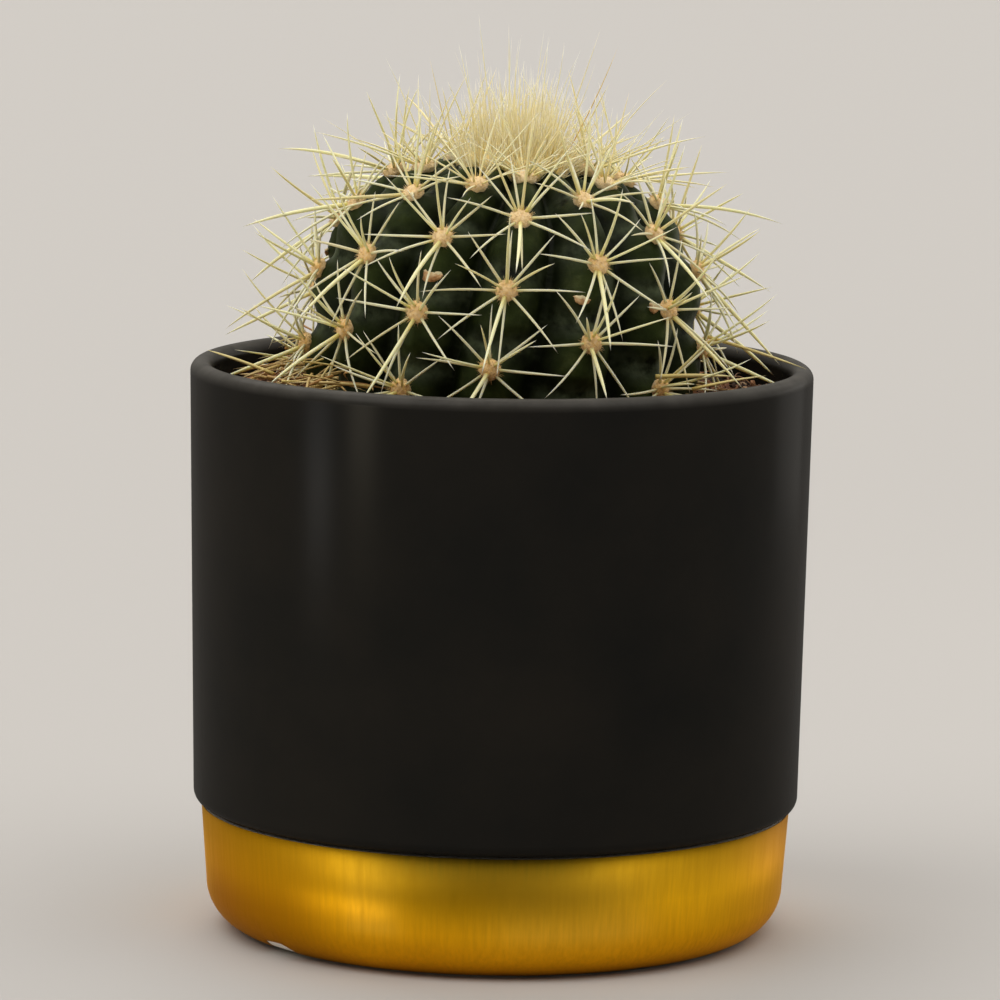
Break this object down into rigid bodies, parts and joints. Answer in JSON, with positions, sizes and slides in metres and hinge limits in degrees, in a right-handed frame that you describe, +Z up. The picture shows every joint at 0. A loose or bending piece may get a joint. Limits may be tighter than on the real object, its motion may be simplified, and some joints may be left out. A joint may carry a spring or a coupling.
{
  "type": "potted round cactus",
  "caption": "Round ribbed barrel cactus with radiating spines and a woolly crown, standing in soil in a straight black pot with a gold base.",
  "frame": {"origin": "centre of the pot's flat underside, on the surface that it stands on", "axes": "+Z up along the pot's axis, -Y towards the viewer of the picture, +X to the viewer's right"},
  "size_m": [0.11, 0.11, 0.1606],
  "materials": {
    "black_glaze": "satin black glaze",
    "gold_lacquer": "brushed gold lacquer over ceramic",
    "bare_clay": "unglazed pale clay",
    "soil": "gritty potting soil with coir",
    "cactus_skin": "waxy dark green skin",
    "areole_felt": "peach felt",
    "spine": "cream yellow horn",
    "crown_wool": "yellow wool and young spines"
  },
  "bodies": {
    "root": {"pot_wall": "black_glaze", "pot_base": "gold_lacquer", "soil": "soil", "cactus": "cactus_skin", "crown": "crown_wool"}
  },
  "joints": []
}
